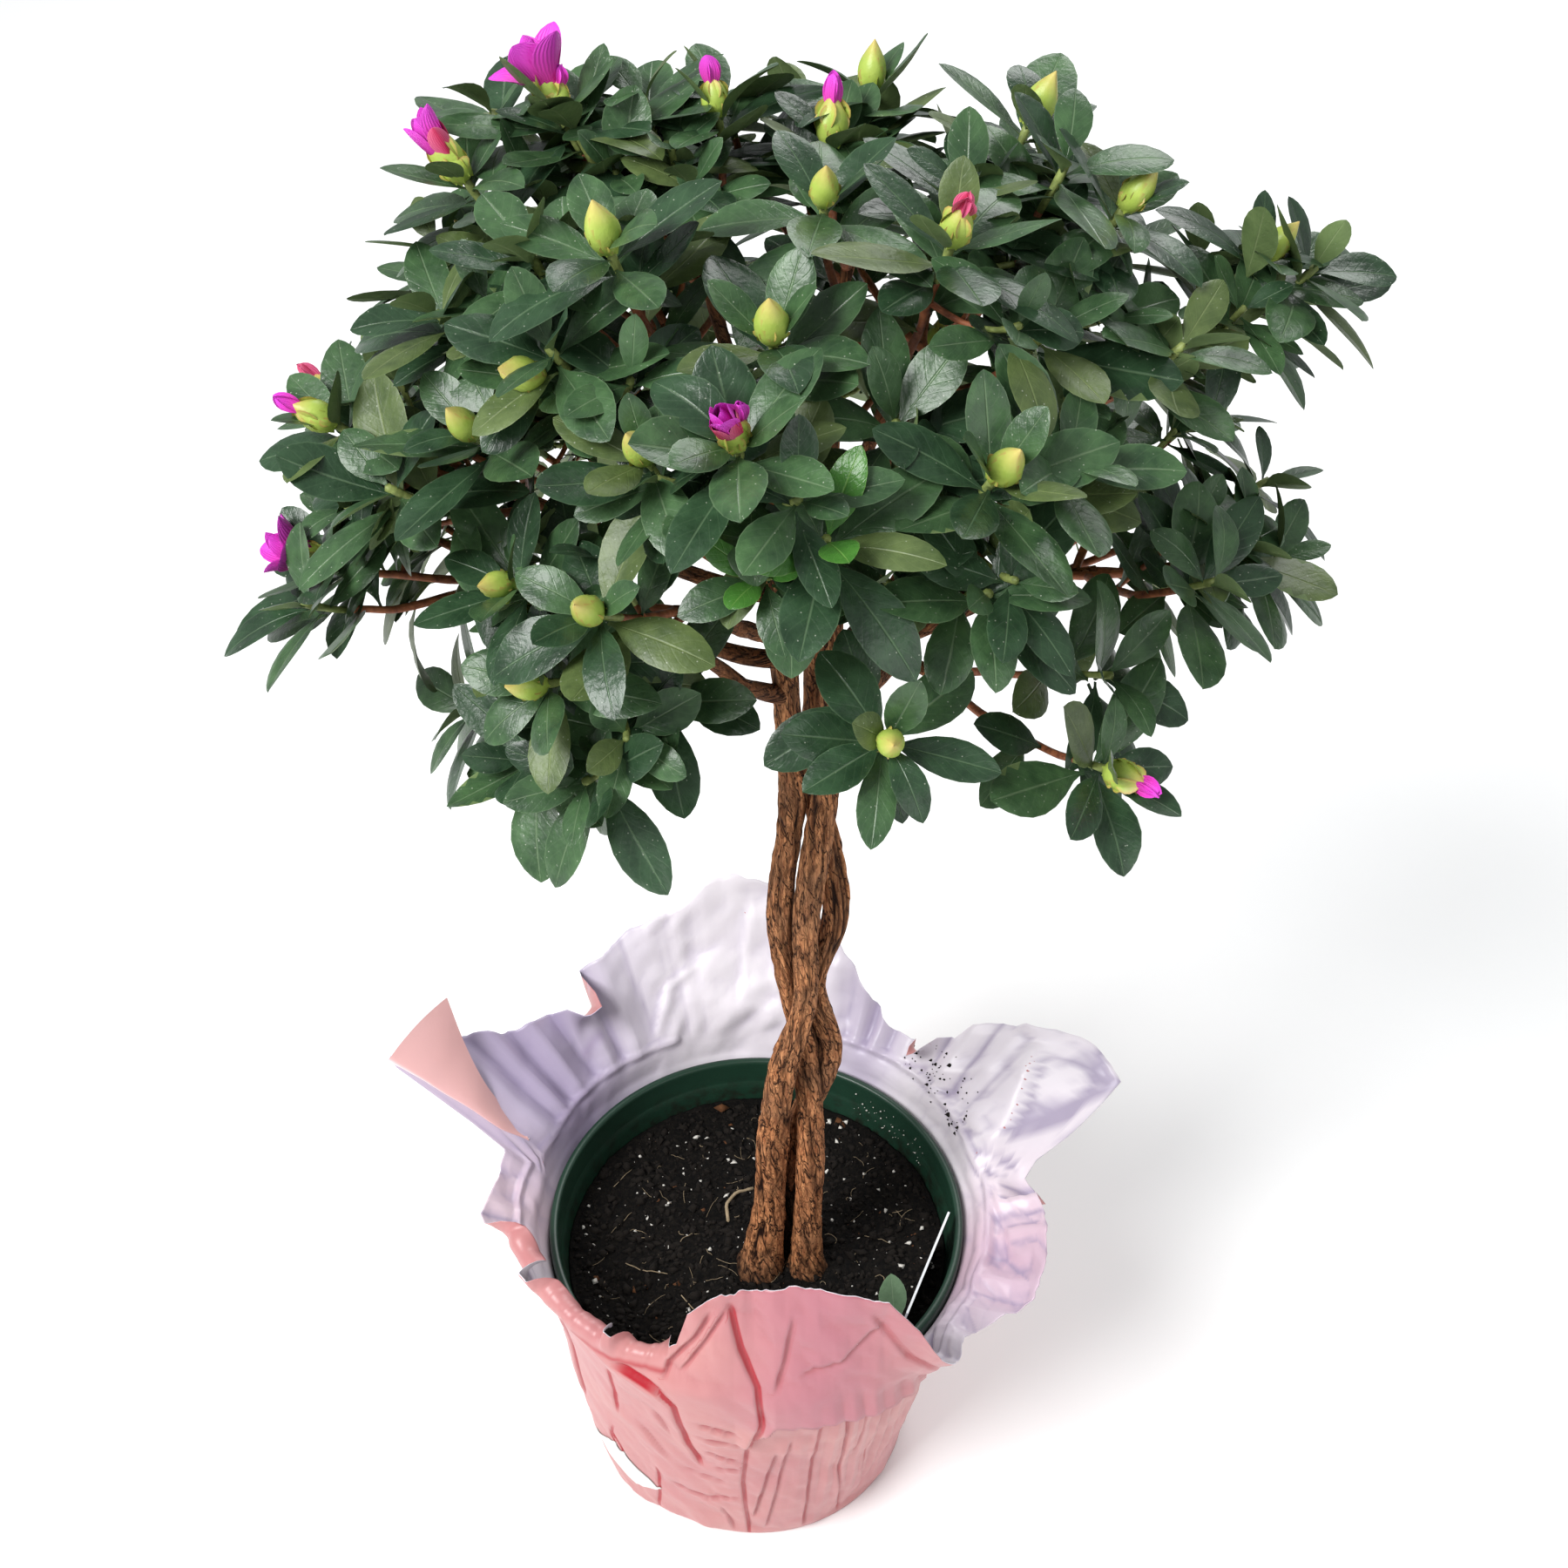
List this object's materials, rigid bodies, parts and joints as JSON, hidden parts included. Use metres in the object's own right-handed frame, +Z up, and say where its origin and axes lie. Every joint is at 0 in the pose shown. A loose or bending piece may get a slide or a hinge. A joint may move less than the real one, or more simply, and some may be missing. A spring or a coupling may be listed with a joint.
{
  "type": "potted azalea shrub",
  "caption": "Small azalea shrub grown as a standard: a leafy crown on a plaited stem, in a plastic pot inside a flared paper pot cover.",
  "frame": {"origin": "centre of the pot cover's flat underside", "axes": "+Z up, -Y towards the side from which the plant is usually seen, +X to that viewer's right"},
  "size_m": [0.3275, 0.2683, 0.6061],
  "materials": {
    "cover_paper": "pink outside and lilac white inside, satin, creased and pleated",
    "pot_plastic": "thin moulded nursery pot, satin dark green",
    "potting_soil": "damp black peat with white specks",
    "label_plastic": "blank thin plastic label",
    "bark": "orange-brown fissured bark, greener on the youngest twigs",
    "foliage": "small leathery evergreen leaves with yellow-green buds and magenta flowers"
  },
  "bodies": {
    "root": {"bough_back_left_low": "bark", "bough_back_left_upper": "bark", "bough_back_low": "bark", "bough_back_right_low": "bark", "bough_back_right_upper": "bark", "bough_front_left": "bark", "bough_front_left_low": "bark", "bough_front_low": "bark", "bough_front_right": "bark", "bough_front_upper": "bark", "bough_left": "bark", "bough_left_low": "bark", "bough_left_upper": "bark", "bough_right_low": "bark", "bough_right_outer": "bark", "bough_right_upper": "bark", "bough_top_back": "bark", "bough_top_back_left": "bark", "bough_top_front_right": "bark", "bough_top_left": "bark", "bough_top_right": "bark", "foliage_back_left_low": "foliage", "foliage_back_left_upper": "foliage", "foliage_back_low": "foliage", "foliage_back_right_low": "foliage", "foliage_back_right_upper": "foliage", "foliage_front_left": "foliage", "foliage_front_left_low": "foliage", "foliage_front_low": "foliage", "foliage_front_right": "foliage", "foliage_front_upper": "foliage", "foliage_left": "foliage", "foliage_left_low": "foliage", "foliage_left_upper": "foliage", "foliage_right_low": "foliage", "foliage_right_outer": "foliage", "foliage_right_upper": "foliage", "foliage_top_back": "foliage", "foliage_top_back_left": "foliage", "foliage_top_front_right": "foliage", "foliage_top_left": "foliage", "foliage_top_right": "foliage", "plant_label": "label_plastic", "pot": "pot_plastic", "pot_cover": "cover_paper", "soil": "potting_soil", "stem_back": "bark", "stem_front": "bark", "stem_left": "bark"}
  },
  "joints": []
}
